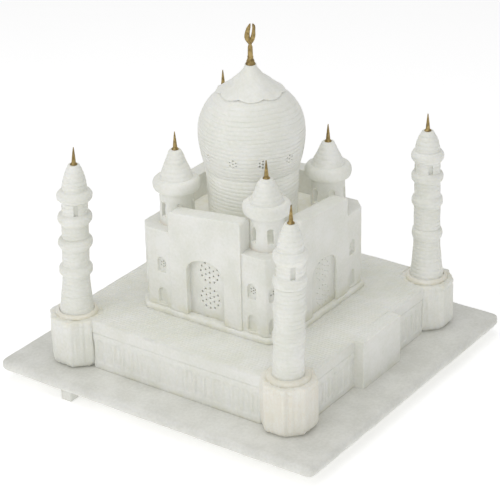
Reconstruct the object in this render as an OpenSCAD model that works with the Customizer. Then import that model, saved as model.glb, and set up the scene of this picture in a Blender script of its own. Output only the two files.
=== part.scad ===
// Carved stone souvenir: a domed hall on a square terrace with four corner minarets.
// Every stone piece is cut by itself and glued, and the spires are turned brass.
// The minarets stand in sockets and lift straight out.
// The origin is the slab's centre in plan, at the underside of the feet. +Z is up.
// Front is -Y, the side with the stair bay. Left is -X.

/* [Slab and feet] */
// Length of the slab along X
slab_x = 293; // [286:1:310]
// Length of the slab along Y
slab_y = 305; // [296:1:320]
// Thickness of the slab
slab_t = 9; // [7:0.5:14]
// Height of a foot, and its width both ways
foot_size = 10; // [6:1:14]

/* [Terrace] */
// Offset of the whole building from the slab's centre along X
build_x = -1; // [-3:0.5:3]
// Offset of the whole building from the slab's centre along Y
build_y = -2.5; // [-4:0.5:4]
// Width of the terrace, both ways
terrace_w = 222.6; // [218:0.2:226]
// Height of the terrace
terrace_h = 42; // [38:1:48]
// Thickness of the deck plate that covers the terrace walls
deck_t = 10; // [8:0.5:14]
// Thickness of a terrace wall
wall_t = 12; // [8:1:16]
// Width of the stair bay
bay_w = 56; // [40:1:80]
// Offset of the stair bay's centre from the terrace's centre line
bay_x = 3.3; // [-5:0.1:5]
// How far the stair bay stands out
bay_out = 8.4; // [5:0.2:12]

/* [Minarets] */
// Distance between the tower centres
tower_pitch = 199.6; // [196:0.2:202]
// Width of an octagonal tower base across its flats
tower_w = 42.4; // [40:0.2:43]
// Height of the collar ring round a minaret's foot
collar_h = 3; // [2:0.5:5]
// Height of a minaret above the terrace, without its spire
minaret_h = 128; // [120:1:136]
// Radius of a minaret's shaft at its foot, where it is widest
shaft_r = 14.1; // [13.6:0.1:15]
// Radius of the spigot under a minaret
spigot_r = 7; // [5:0.5:9]
// Length of the spigot
spigot_l = 10; // [6:1:16]

/* [Hall] */
// Width of the hall across opposite walls
hall_w = 133; // [128:1:138]
// Size of the cut-off corners
chamfer = 9.5; // [6:0.5:14]
// Height of the step that the hall stands on
step_h = 5; // [3:0.5:7]
// Height of the corner blocks above the terrace, step included
hall_h = 72; // [66:1:76]
// Width of a portal slab
portal_w = 69; // [62:1:72]
// Width of a portal's arch
arch_w = 36; // [32:1:38]
// Height of the arch above the step
arch_h = 51; // [49:1:56]

/* [Kiosks] */
// Distance between the kiosk centres
kiosk_pitch = 86.6; // [82:0.2:90]
// Radius of a kiosk's body
kiosk_r = 14.2; // [12.2:0.5:15.2]
// Height of a kiosk's body
kiosk_h = 27; // [24:1:30]

/* [Drum and dome] */
// Height of the drum above the roof
drum_h = 43; // [38:1:46]
// Radius of the drum at its foot
drum_r = 35.6; // [34:0.2:37]
// Largest radius of the dome
dome_r = 42.5; // [40:0.5:44]
// Height of the dome above the drum
dome_h = 62; // [56:1:66]
// Height of the lotus cap
cap_h = 21.5; // [18:0.5:24]

/* [Spires] */
// Height of a small spire above the stone
spire_h = 15; // [12:0.5:18]
// Height of the crown's stem and crescent above its brass base
crown_h = 27; // [22:0.5:30]

/* [Hidden] */
$fn = 72;
CORNERS = ["front_left", "front_right", "back_right", "back_left"];
SIDES = ["front", "right", "back", "left"];
function named(stem, list) = [for (n = list) str(stem, "_", n)];

stone = "Gainsboro";
slab_stone = "Silver";
brass = "DarkGoldenrod";

// Heights of the main levels
slab_top = foot_size + slab_t;
deck_z = slab_top + terrace_h;
hall_z = deck_z + step_h;
roof_z = deck_z + hall_h;
dome_z = roof_z + drum_h;
cap_z = dome_z + dome_h;
crown_z = cap_z + cap_h;

// Radius of the slab's corners in plan
slab_corner = 9;

// Feet: one per corner of the slab, where it can be hidden or seen past the edge
foot_places = [[-120, -100], [120, -100], [120, 100], [-137, 85.5]];

// Terrace
edge_r = 1.6;
panel_pitch = 8.9;
panel_gap = 2.4;
panel_count = 19;
panel_z = 6;
panel_h = 20;
panel_deep = 0.8;

// Towers: how far each stands from its own corner of the square, along X and Y
tower_shift = [[0, 0], [2.5, -2.5], [0, 0], [-4, 3]];

// Fits: a spigot slides in its socket, and a glued pin has a little room
slide_gap = 0.08;
glue_gap = 0.05;
lip_h = 4;
lip_in = 0.9;
collar_r = 17.3;
collar_gap = 0.5;

// Minarets, one entry each: height over the common one, turns of its lean about X, Y and Z,
// how much slimmer it is at its foot and above its knee, and its balconies, each a height
// above the terrace and a radius
minaret_extra = [-1, 2, 0, 0];
minaret_leans = [[1.1, 0.8, 0], [-0.65, -0.45, 0], [0, 0, 0], [1.8, 1.3, 0]];
foot_slim = [1.7, 0, 0, 0];
knee_slim = [-0.8, 0, 0, 0];
balconies = [
    [[35.5, 12.9], [59, 12.8], [81.5, 12.9], [101.5, 13.2]],
    [[40.8, 12.7], [69.9, 12.9], [91, 13], [109, 13.5]],
    [[38.5, 13.4], [63, 13.8], [85.5, 13.9], [105.5, 14]],
    [[38.5, 13.6], [62, 14], [83.3, 14], [102.2, 14.4]]];
balcony_half = 4.9;
shaft_knee_h = 28;
shaft_knee_r = 11.2;
shaft_top_r = 10.6;
shaft_top_h = 100;
foot_disc = 1.2;
disc_out = 0.3;
lantern_slot_w = 3.8;
lantern_deep = 2.5;
// The domed top: radius and share of the way from the last balcony to the tip
minaret_cap = [[10.1, 0], [9.6, 0.25], [8.5, 0.5], [7.1, 0.76], [5.8, 0.93], [4.6, 1], [0, 1]];

// Hall: wall thickness, the portals' tops above the terrace, front, right, back, left
hall_t = 12;
portal_out = 1.5;
portal_tops = [91.5, 92, 92, 94];
portal_corner_r = 3;
portal_slopes = [0.08, 0, 0, -0.105];
arch_drops = [6, 0, 0, 0];
jali_deep = [2.4, 5.4, 5.4, 5.4];
jali_t = 3;
// Rosettes: offset of the centres, distance of the upper one below the arch's top, distance
// between the two, and the rings of holes, each a count and a radius
rosette_x = [0, 0, 0, 1];
rosette_drop = 11.2;
rosette_pitch = 22.4;
rosette_rings = [[1, 0], [6, 4.2], [10, 8.6]];
rosette_hole_r = 0.95;
roof_t = 5;
niche_w = 8;
niche_deep = 3;
niche_x = 43.6;
upper_niche = [30, 13];
lower_niche = [2, 14];

// Kiosks
eave_half = 5.5;
eave_r = 19;
kiosk_dome_h = [18.5, 18.5, 18.5, 23];
kiosk_cone = [[13.4, 0], [12.2, 0.15], [9.8, 0.43], [7.7, 0.68], [5.8, 0.9], [4.2, 1], [0, 1]];
kiosk_wall = 4.5;
kiosk_floor = 4;
kiosk_slots = 6;
kiosk_slot_w = 5;
kiosk_slot_h = 13;
kiosk_slot_z = 7;

// Dome and drum
shell_t = 6;
neck_r = 37.5;
belly_h = 30;
star_count = 11;
star_turn = -166.06;
star_z = 16;
star_r = 1.4;
cap_r = 24.8;
lip_r = 26.4;
lip_z = 2.4;
cap_neck_r = 4.6;

// Brass
pin_r = 0.8;
pin_l = 4;
spire_r = 1.9;
flange_r = 2.9;
spire_flange = 1.2;
spire_tip_r = 0.3;
crown_pin_r = 1.4;
crown_pin_l = 7.5;
crown_r = 3.9;
crown_base_h = 6.5;
crown_turn = -55;
bud_h = 17;
bud_r = 4.8;
bud_in = 3.9;
bud_t = 1.6;

// An arc of an ellipse about (r0, z0), from angle a to angle b
function ellipse(r0, z0, rr, rz, a, b, steps) =
    [for (i = [0:steps]) let (t = a + (b - a) * i / steps) [r0 + rr * cos(t), z0 + rz * sin(t)]];

// Radius of a minaret's shaft above its knee
function shaft_at(i, h) = shaft_knee_r - knee_slim[i]
    + (shaft_top_r - shaft_knee_r) * (h - shaft_knee_h) / (shaft_top_h - shaft_knee_h);

// One rounded balcony on the shaft
function balcony(i, b) = let (r = shaft_at(i, b[0]))
    ellipse(r, b[0], b[1] - r, balcony_half, -90, 90, 8);

// The domed top of a minaret, between two heights
function minaret_top(low, high) = [for (p = minaret_cap) [p[0], low + (high - low) * p[1]]];

// Puts a piece at one corner or one side of the building
module at_corner(i, pitch) {
    sx = (i == 1 || i == 2) ? 1 : -1;
    sy = i > 1 ? 1 : -1;
    translate([build_x + sx * pitch / 2, build_y + sy * pitch / 2, 0]) children();
}
module at_tower(i) {
    translate(concat(tower_shift[i], 0)) at_corner(i, tower_pitch) children();
}
module at_side(i) {
    translate([build_x, build_y, 0]) rotate([0, 0, 90 * i]) children();
}
module at_centre() {
    translate([build_x, build_y, 0]) children();
}

// An upright arched outline, its foot at the origin
module arch_2d(w, h) {
    translate([-w / 2, 0]) square([w, h - w / 2]);
    translate([0, h - w / 2]) circle(d = w);
}

// A solid of that outline with its face on the XZ plane, cut back along +Y
module arch_cut(w, h, deep) {
    rotate([90, 0, 0]) translate([0, 0, -deep]) linear_extrude(deep + 1) arch_2d(w, h);
}

module octagon(w, h) {
    rotate([0, 0, 22.5]) cylinder(h = h, r = w / 2 / cos(22.5), $fn = 8);
}

// ---- Slab and feet ----
// A bar along X with a stadium section: flat above and below, round at the edges
module round_bar(length, width) {
    r = slab_t / 2;
    rotate([90, 0, 90]) translate([0, 0, -length / 2]) linear_extrude(length) {
        square([width - 2 * r, slab_t], center = true);
        for (s = [-1, 1]) translate([s * (width / 2 - r), 0]) circle(r = r);
    }
}

// A rectangle with rounded corners
module rounded_plan(x, y, r) {
    square([x - 2 * r, y], center = true);
    square([x, y - 2 * r], center = true);
    for (sx = [-1, 1], sy = [-1, 1]) translate([sx * (x / 2 - r), sy * (y / 2 - r)]) circle(r = r);
}

module base_slab() {
    color(slab_stone) translate([0, 0, foot_size + slab_t / 2]) intersection() {
        round_bar(slab_x + 20, slab_y);
        rotate([0, 0, 90]) round_bar(slab_y + 20, slab_x);
        linear_extrude(slab_t + 2, center = true) rounded_plan(slab_x, slab_y, slab_corner);
    }
}

module foot(i) {
    color(slab_stone) translate([foot_places[i][0], foot_places[i][1], foot_size / 2])
        cube(foot_size, center = true);
}

// ---- Terrace ----
module tower_shadows() {
    for (i = [0:3]) at_tower(i) translate([0, 0, slab_top - 1])
        octagon(tower_w, terrace_h + 2);
}

module terrace_deck() {
    in = terrace_w / 2 - edge_r;
    color(stone) difference() {
        at_centre() translate([0, 0, deck_z - deck_t]) {
            translate([-terrace_w / 2, -terrace_w / 2, 0])
                cube([terrace_w, terrace_w, deck_t - edge_r]);
            translate([-in, -in, 0]) cube([2 * in, 2 * in, deck_t]);
            for (s = [-1, 1]) translate([0, 0, deck_t - edge_r]) {
                translate([s * in, 0, 0]) rotate([90, 0, 0])
                    cylinder(h = 2 * in, r = edge_r, center = true);
                translate([0, s * in, 0]) rotate([0, 90, 0])
                    cylinder(h = 2 * in, r = edge_r, center = true);
            }
        }
        tower_shadows();
        at_centre() translate([bay_x - bay_w / 2, -terrace_w / 2 - 1, deck_z - deck_t - 1])
            cube([bay_w, 2 * edge_r + 1, deck_t + 2]);
    }
}

module terrace_wall(i) {
    back = (i % 2 == 0) ? 0 : wall_t;
    len = terrace_w - 2 * back;
    color(stone) difference() {
        at_side(i) translate([-len / 2, -terrace_w / 2, slab_top])
            cube([len, wall_t, terrace_h - deck_t]);
        tower_shadows();
        at_side(i) for (k = [0:panel_count - 1])
            translate([(k - (panel_count - 1) / 2) * panel_pitch, -terrace_w / 2, 0])
                translate([0, 0, slab_top + panel_z])
                    arch_cut(panel_pitch - panel_gap, panel_h, panel_deep);
    }
}

module stair_bay() {
    color(stone) at_centre() translate([bay_x - bay_w / 2, -terrace_w / 2, slab_top]) {
        translate([0, -bay_out, 0]) cube([bay_w, bay_out, terrace_h]);
        translate([0, 0, terrace_h - deck_t]) cube([bay_w, 2 * edge_r, deck_t]);
    }
}

// ---- Towers, collars and minarets ----
module tower_base(i) {
    color(stone) at_tower(i) difference() {
        translate([0, 0, slab_top]) {
            octagon(tower_w, terrace_h - lip_h - 1);
            octagon(tower_w - 2 * lip_in, terrace_h - 1);
            translate([0, 0, terrace_h - lip_h]) octagon(tower_w, lip_h);
        }
        translate([0, 0, deck_z - spigot_l - 1])
            cylinder(h = spigot_l + 2, r = spigot_r + slide_gap);
    }
}

module collar(i) {
    color(stone) at_tower(i) translate([0, 0, deck_z]) difference() {
        cylinder(h = collar_h, r = collar_r);
        translate([0, 0, -1]) cylinder(h = collar_h + 2, r = shaft_r - foot_slim[i] + collar_gap);
    }
}

// The shaft leans a little, and a level disc closes it on the tower
module minaret(i) {
    foot_r = shaft_r - foot_slim[i];
    top = minaret_h + minaret_extra[i];
    slot_low = balconies[i][2][0] + balcony_half;
    slot_high = balconies[i][3][0] - balcony_half;
    color(stone) at_tower(i) translate([0, 0, deck_z]) difference() {
        union() {
            translate([0, 0, -spigot_l]) cylinder(h = spigot_l + foot_disc, r = spigot_r);
            cylinder(h = foot_disc, r = foot_r + disc_out);
            rotate(minaret_leans[i]) rotate_extrude() polygon(concat(
                [[0, foot_disc / 2], [foot_r, foot_disc / 2]],
                [[shaft_knee_r - knee_slim[i], shaft_knee_h]],
                balcony(i, balconies[i][0]), balcony(i, balconies[i][1]),
                balcony(i, balconies[i][2]), balcony(i, balconies[i][3]),
                minaret_top(balconies[i][3][0] + balcony_half + 0.1, top)));
        }
        rotate(minaret_leans[i]) {
            for (a = [0:90:270]) rotate([0, 0, a + 45])
                translate([0, -shaft_top_r + knee_slim[i], slot_low + 0.2])
                    arch_cut(lantern_slot_w, slot_high - slot_low - 0.4, lantern_deep);
            translate([0, 0, top - pin_l]) cylinder(h = pin_l + 1, r = pin_r + glue_gap);
        }
    }
}

// ---- Brass spires ----
module spire() {
    translate([0, 0, -pin_l + 0.2]) cylinder(h = pin_l, r = pin_r);
    cylinder(h = spire_flange, r1 = flange_r, r2 = spire_r);
    translate([0, 0, spire_flange])
        cylinder(h = spire_h - spire_flange, r1 = spire_r * 0.95, r2 = spire_tip_r);
}

module minaret_spire(i) {
    color(brass) at_tower(i) translate([0, 0, deck_z]) rotate(minaret_leans[i])
        translate([0, 0, minaret_h + minaret_extra[i]]) spire();
}

module kiosk_spire(i) {
    color(brass) at_corner(i, kiosk_pitch)
        translate([0, 0, roof_z + kiosk_h + 2 * eave_half + kiosk_dome_h[i]]) spire();
}

// ---- Hall ----
module hall_outline(w, cut) {
    h = w / 2;
    polygon([[-h, cut - h], [cut - h, -h], [h - cut, -h], [h, cut - h],
             [h, h - cut], [h - cut, h], [cut - h, h], [-h, h - cut]]);
}

module hall_step() {
    color(stone) at_centre() translate([0, 0, deck_z])
        linear_extrude(step_h) hall_outline(hall_w + 5, chamfer + 0.5);
}

module niche_pair() {
    for (n = [upper_niche, lower_niche]) translate([0, 0, hall_z + n[0]])
        arch_cut(niche_w, n[1], niche_deep);
}

module hall_corner(i) {
    w = hall_w / 2;
    color(stone) at_side(i) difference() {
        translate([0, 0, hall_z]) linear_extrude(roof_z - hall_z) difference() {
            hall_outline(hall_w, chamfer);
            square(hall_w - 2 * hall_t, center = true);
            translate([-portal_w / 2, -w - 1]) square([2 * w, 2 * w + 2]);
            translate([-w - 1, -portal_w / 2]) square([2 * w + 2, 2 * w]);
        }
        translate([-niche_x, -w, 0]) niche_pair();
        rotate([0, 0, -90]) translate([niche_x, -w, 0]) niche_pair();
        rotate([0, 0, -45]) translate([0, -(2 * w - chamfer) / sqrt(2), 0]) niche_pair();
    }
}

// A rounded corner about a point, from bearing a to bearing b, both turned from upright
function corner_arc(p, r, a, b) =
    [for (k = [0:6]) let (t = a + (b - a) * k / 6) p + r * [sin(t), cos(t)]];

// The front and left slabs' tops slant, and the front arch is lower than the others
module portal_outline(i) {
    r = portal_corner_r;
    in = portal_w / 2 - r;
    top = portal_tops[i] + deck_z - hall_z - r;
    slope = portal_slopes[i];
    tilt = atan(slope);
    polygon(concat([[-portal_w / 2, 0], [portal_w / 2, 0]],
        corner_arc([in, top - slope * in], r, 90, tilt),
        corner_arc([-in, top + slope * in], r, tilt, -90)));
}

module portal(i) {
    w = hall_w / 2;
    deep = hall_t + portal_out;
    color(stone) at_side(i) translate([0, -w - portal_out, hall_z]) difference() {
        rotate([90, 0, 0]) translate([0, 0, -deep]) linear_extrude(deep) portal_outline(i);
        translate([0, 0, -0.5]) arch_cut(arch_w, arch_h - arch_drops[i] + 0.5, deep + 1);
        translate([-portal_w, hall_t / 2 + portal_out, hall_h - step_h])
            cube([2 * portal_w, hall_t, portal_w]);
    }
}

// A pierced screen of two rosettes
module jali(i) {
    w = hall_w / 2;
    top = arch_h - arch_drops[i];
    high = top - rosette_drop;
    color(stone) at_side(i) translate([0, -w - portal_out + jali_deep[i], hall_z]) difference() {
        rotate([90, 0, 0]) translate([0, 0, -jali_t]) linear_extrude(jali_t)
            arch_2d(arch_w - 2 * glue_gap, top - glue_gap);
        for (z = [high, high - rosette_pitch], ring = rosette_rings, k = [0:ring[0] - 1])
            translate([rosette_x[i], -1, z]) rotate([0, 360 * k / ring[0], 0])
                translate([0, 0, ring[1]]) rotate([-90, 0, 0])
                    cylinder(h = jali_t + 2, r = rosette_hole_r, $fn = 24);
    }
}

module hall_roof() {
    color(stone) at_centre() translate([0, 0, roof_z - roof_t]) linear_extrude(roof_t)
        square(hall_w - 2 * hall_t, center = true);
}

// ---- Kiosks ----
module kiosk(i) {
    color(stone) at_corner(i, kiosk_pitch) translate([0, 0, roof_z]) difference() {
        cylinder(h = kiosk_h, r = kiosk_r);
        translate([0, 0, kiosk_floor]) cylinder(h = kiosk_h, r = kiosk_r - kiosk_wall);
        for (k = [0:kiosk_slots - 1]) rotate([0, 0, 360 / kiosk_slots * k - 45])
            translate([0, -kiosk_r, kiosk_slot_z])
                arch_cut(kiosk_slot_w, kiosk_slot_h, kiosk_wall + 1.5);
    }
}

module kiosk_dome(i) {
    cone_z = 2 * eave_half;
    top = cone_z + kiosk_dome_h[i];
    color(stone) at_corner(i, kiosk_pitch) translate([0, 0, roof_z + kiosk_h]) difference() {
        rotate_extrude() polygon(concat(
            [[0, 0]],
            ellipse(kiosk_r, eave_half, eave_r - kiosk_r, eave_half, -90, 90, 10),
            [for (p = kiosk_cone) [min(p[0], kiosk_r - 0.2), cone_z + (top - cone_z) * p[1]]]));
        translate([0, 0, top - pin_l]) cylinder(h = pin_l + 1, r = pin_r + glue_gap);
    }
}

// ---- Drum, dome and cap ----
module drum() {
    color(stone) at_centre() translate([0, 0, roof_z]) rotate_extrude()
        polygon([[drum_r - shell_t, 0], [drum_r, 0], [neck_r, drum_h], [neck_r - shell_t, drum_h]]);
}

// The shell swells from the drum to its belly and closes in above it
module dome() {
    low = belly_h / sqrt(1 - pow(neck_r / dome_r, 2));
    high = (dome_h - belly_h) / sqrt(1 - pow(cap_r / dome_r, 2));
    foot_a = -acos(neck_r / dome_r);
    top_a = acos(cap_r / dome_r);
    in = dome_r - shell_t;
    color(stone) at_centre() translate([0, 0, dome_z]) difference() {
        rotate_extrude() polygon(concat(
            ellipse(0, belly_h, dome_r, low, foot_a, 0, 8),
            ellipse(0, belly_h, dome_r, high, top_a / 12, top_a, 11),
            [[0, dome_h]],
            ellipse(0, belly_h, in, high - 2 * shell_t, 90, 0, 12),
            [[neck_r - shell_t, 0]]));
        for (k = [0:star_count - 1]) rotate([0, 0, 360 / star_count * k + star_turn])
            translate([dome_r - 2 * shell_t, 0, star_z]) rotate([0, 90, 0])
                cylinder(h = 3 * shell_t, r = star_r, $fn = 24);
    }
}

// The cap flares down to a lip and is cut flat under it
module lotus_cap() {
    color(stone) at_centre() translate([0, 0, cap_z]) difference() {
        rotate_extrude() polygon(concat(
            [[0, 0], [cap_r + 1.2, 0]],
            [for (k = [12:-1:0]) let (t = k / 12)
                [cap_neck_r + (lip_r - cap_neck_r) * pow(t, 1.6), cap_h - (cap_h - lip_z) * t]],
            [[0, cap_h]]));
        translate([0, 0, cap_h - crown_pin_l - 0.5])
            cylinder(h = crown_pin_l + 1, r = crown_pin_r + glue_gap);
    }
}

// ---- Crown ----
module crown_base() {
    color(brass) at_centre() translate([0, 0, crown_z]) {
        translate([0, 0, -crown_pin_l]) cylinder(h = crown_pin_l + 0.5, r = crown_pin_r);
        rotate_extrude() polygon([[0, 0], [crown_r, 0], [crown_r, 1.4], [3.1, 2.2], [3.1, 3.4],
            [2.5, 4.4], [2.3, crown_base_h], [0, crown_base_h]]);
    }
}

// Two blades curve up round a middle spike, cut from thin sheet
module crown_crescent() {
    stem = crown_h - bud_h;
    color(brass) at_centre() translate([0, 0, crown_z + crown_base_h]) rotate([0, 0, crown_turn]) {
        cylinder(h = stem + 2, r1 = 2.1, r2 = 1.3);
        translate([0, 0, stem + 1]) cylinder(h = bud_h - 1.5, r1 = 1.3, r2 = 0.5);
        rotate([90, 0, 0]) translate([0, 0, -bud_t / 2]) linear_extrude(bud_t) difference() {
            translate([0, stem + 9]) circle(r = bud_r);
            translate([0, stem + 10.6]) circle(r = bud_in);
            translate([-1, stem + 11]) square([2, 6]);
        }
    }
}

base_slab();
terrace_deck();
stair_bay();
hall_step();
hall_roof();
drum();
dome();
lotus_cap();
crown_base();
crown_crescent();
for (i = [0:3]) {
    foot(i);
    terrace_wall(i);
    tower_base(i);
    collar(i);
    minaret(i);
    minaret_spire(i);
    hall_corner(i);
    portal(i);
    jali(i);
    kiosk(i);
    kiosk_dome(i);
    kiosk_spire(i);
}
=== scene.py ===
from math import atan2, cos, pi, radians, sin, sqrt
from random import Random

import bmesh
import bpy
from mathutils import Matrix, Vector, noise


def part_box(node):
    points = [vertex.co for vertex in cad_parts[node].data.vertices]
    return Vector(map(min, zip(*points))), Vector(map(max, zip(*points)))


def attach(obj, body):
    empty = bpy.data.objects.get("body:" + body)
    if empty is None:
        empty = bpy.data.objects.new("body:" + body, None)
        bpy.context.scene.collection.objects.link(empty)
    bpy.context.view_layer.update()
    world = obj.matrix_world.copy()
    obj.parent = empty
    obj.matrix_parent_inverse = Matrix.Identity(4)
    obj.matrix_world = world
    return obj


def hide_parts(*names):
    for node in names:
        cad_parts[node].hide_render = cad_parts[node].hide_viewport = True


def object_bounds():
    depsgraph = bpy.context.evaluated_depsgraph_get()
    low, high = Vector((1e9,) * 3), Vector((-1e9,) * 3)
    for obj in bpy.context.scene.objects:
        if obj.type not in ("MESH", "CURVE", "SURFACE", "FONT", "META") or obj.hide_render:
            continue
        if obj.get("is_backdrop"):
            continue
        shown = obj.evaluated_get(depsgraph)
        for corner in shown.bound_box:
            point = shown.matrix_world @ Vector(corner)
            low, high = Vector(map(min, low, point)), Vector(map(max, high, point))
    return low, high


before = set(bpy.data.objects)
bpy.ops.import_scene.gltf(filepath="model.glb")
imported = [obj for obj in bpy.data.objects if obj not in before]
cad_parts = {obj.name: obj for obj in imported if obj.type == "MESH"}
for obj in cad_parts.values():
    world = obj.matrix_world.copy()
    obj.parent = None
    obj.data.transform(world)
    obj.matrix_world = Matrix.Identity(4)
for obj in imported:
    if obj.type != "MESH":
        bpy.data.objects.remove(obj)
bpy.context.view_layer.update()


# ---- Camera ----
# A long lens looks down on the front left corner of the model, from far enough off that its
# upright edges stay nearly parallel.
mm = 0.001
azimuth = radians(-54.56)
elevation = radians(25.83)
roll = radians(-1.21)
distance = 1557.5 * mm
aim = Vector((32.3, 25.4, 79.0)) * mm
back = Vector((sin(azimuth) * cos(elevation), -cos(azimuth) * cos(elevation), sin(elevation)))
right = Vector((cos(azimuth), sin(azimuth), 0))
facing = Matrix((right, back.cross(right), back)).transposed() @ Matrix.Rotation(roll, 3, "Z")
lens = bpy.data.cameras.new("camera")
lens.lens = 134.2
camera = bpy.data.objects.new("camera", lens)
camera.matrix_world = Matrix.Translation(aim + back * distance) @ facing.to_4x4()
bpy.context.scene.collection.objects.link(camera)
bpy.context.scene.camera = camera


# ---- Studio ----
# A wide white floor, an even white surround, and three large soft lamps: one on the left,
# one in front and one overhead.
def add(tree, kind, inputs, **settings):
    """Places a shader node, sets it, and fills or wires its sockets."""
    node = tree.nodes.new("ShaderNode" + kind)
    for name, value in settings.items():
        setattr(node, name, value)
    for name, value in inputs.items():
        if isinstance(value, bpy.types.NodeSocket):
            tree.links.new(value, node.inputs[name])
        else:
            node.inputs[name].default_value = value
    return node


def surface(name, inputs):
    """A material with one principled shader, which takes the given inputs."""
    made = bpy.data.materials.new(name)
    made.use_nodes = True
    made.node_tree.nodes.clear()
    shader = add(made.node_tree, "BsdfPrincipled", inputs)
    add(made.node_tree, "OutputMaterial", {"Surface": shader.outputs["BSDF"]})
    return made


floor_size = 14
bm = bmesh.new()
bmesh.ops.create_grid(bm, x_segments=1, y_segments=1, size=floor_size)
mesh = bpy.data.meshes.new("floor")
bm.to_mesh(mesh)
bm.free()
mesh.materials.append(surface("white_floor", {
    "Base Color": (0.92, 0.92, 0.92, 1), "Roughness": 0.9, "Specular IOR Level": 0.1,
    "Emission Color": (1, 1, 1, 1), "Emission Strength": 0.35}))
floor = bpy.data.objects.new("floor", mesh)
bpy.context.scene.collection.objects.link(floor)
floor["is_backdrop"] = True

sky = bpy.data.worlds.new("surround")
sky.use_nodes = True
sky.node_tree.nodes["Background"].inputs["Color"].default_value = (1, 1, 1, 1)
sky.node_tree.nodes["Background"].inputs["Strength"].default_value = 0.48
bpy.context.scene.world = sky
bpy.context.scene.view_settings.view_transform = "Standard"

# Name, direction from the model, diameter in metres and power of each lamp
lamps = (("key", (-0.80, 0.30, 0.62), 0.9, 3.0), ("front", (-0.80, -0.50, 0.60), 1.6, 3.3),
         ("top", (-0.10, 0.0, 1.0), 1.6, 8.4))
lamp_away = 1.7
for name, way, size, energy in lamps:
    lamp = bpy.data.lights.new(name, "AREA")
    lamp.shape = "DISK"
    lamp.size = size
    lamp.energy = energy
    way = Vector(way).normalized()
    stand = bpy.data.objects.new(name, lamp)
    turned_in = way.to_track_quat("Z", "Y").to_matrix().to_4x4()
    stand.matrix_world = Matrix.Translation(way * lamp_away) @ turned_in
    bpy.context.scene.collection.objects.link(stand)


# ---- Slab and feet ----
# A sawn plate of greyish marble with its edges rubbed round, on four short square blocks
# of the same stone glued under it.
def effect(name, wants, gives):
    """A shader group with named sockets, and the sockets inside its two ends."""
    group = bpy.data.node_groups.new(name, "ShaderNodeTree")
    for title, value in wants.items():
        kind = "NodeSocketColor" if isinstance(value, tuple) else "NodeSocketFloat"
        group.interface.new_socket(title, in_out="INPUT", socket_type=kind).default_value = value
    for title, kind in gives.items():
        group.interface.new_socket(title, in_out="OUTPUT", socket_type="NodeSocket" + kind)
    return group, group.nodes.new("NodeGroupInput").outputs, group.nodes.new("NodeGroupOutput").inputs


def grain(tree, size, stretch=(1, 1, 1), detail=3):
    """Noise with features of about that size in metres, drawn out along the axes."""
    place = add(tree, "TexCoord", {}).outputs["Object"]
    scale = [1 / (size * s) for s in stretch]
    place = add(tree, "Mapping", {"Vector": place, "Scale": scale}).outputs["Vector"]
    return add(tree, "TexNoise", {"Vector": place, "Scale": 1, "Detail": detail}).outputs["Fac"]


def ramp(tree, value, low, high, start=0.0, end=1.0):
    """Spreads the part of a value from low to high over start to end."""
    return add(tree, "MapRange", {"Value": value, "From Min": low, "From Max": high,
                                  "To Min": start, "To Max": end}).outputs["Result"]


def sums(tree, operation, a, b):
    """One step of arithmetic on two values or sockets."""
    return add(tree, "Math", {0: a, 1: b}, operation=operation).outputs[0]


def mixed(tree, share, a, b):
    """A colour between two others, by a share from 0 to 1."""
    return add(tree, "Mix", {0: share, 6: a, 7: b}, data_type="RGBA").outputs[2]


clouded, wants, gives = effect("CloudedStone", {
    "Pale": (0.9, 0.9, 0.86, 1), "Deep": (0.8, 0.8, 0.74, 1), "Amount": 1.0},
    {"Colour": "Color", "Cloud": "Float"})
cloud = sums(clouded, "ADD", sums(clouded, "MULTIPLY", grain(clouded, 24 * mm), 0.62),
             sums(clouded, "MULTIPLY", grain(clouded, 2.2 * mm), 0.38))
cloud = ramp(clouded, cloud, 0.38, 0.62)
clouded.links.new(cloud, gives["Cloud"])
clouded.links.new(mixed(clouded, sums(clouded, "MULTIPLY", cloud, wants["Amount"]),
                        wants["Pale"], wants["Deep"]), gives["Colour"])

stained, wants, gives = effect("GlueStain", {
    "Level": 0.0, "Reach": 0.005, "Amount": 1.0}, {"Mask": "Float"})
height = add(stained, "SeparateXYZ", {
    "Vector": add(stained, "TexCoord", {}).outputs["Object"]}).outputs["Z"]
away = sums(stained, "ABSOLUTE", sums(stained, "SUBTRACT", height, wants["Level"]), 0.0)
near = ramp(stained, sums(stained, "DIVIDE", away, wants["Reach"]), 1.0, 0.15)
patch = ramp(stained, grain(stained, 11 * mm), 0.40, 0.60)
stained.links.new(sums(stained, "MULTIPLY", sums(stained, "MULTIPLY", near, patch), wants["Amount"]),
                  gives["Mask"])

marked, wants, gives = effect("ToolMarks", {"Upright": 0.0}, {"Height": "Float"})
lying = grain(marked, 0.7 * mm, (16, 16, 1))
standing = grain(marked, 0.8 * mm, (1, 1, 18))
marks = add(marked, "Mix", {0: wants["Upright"], 2: lying, 3: standing}).outputs[0]
marked.links.new(sums(marked, "ADD", marks, sums(marked, "MULTIPLY", grain(marked, 1.1 * mm), 0.6)),
                 gives["Height"])


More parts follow.
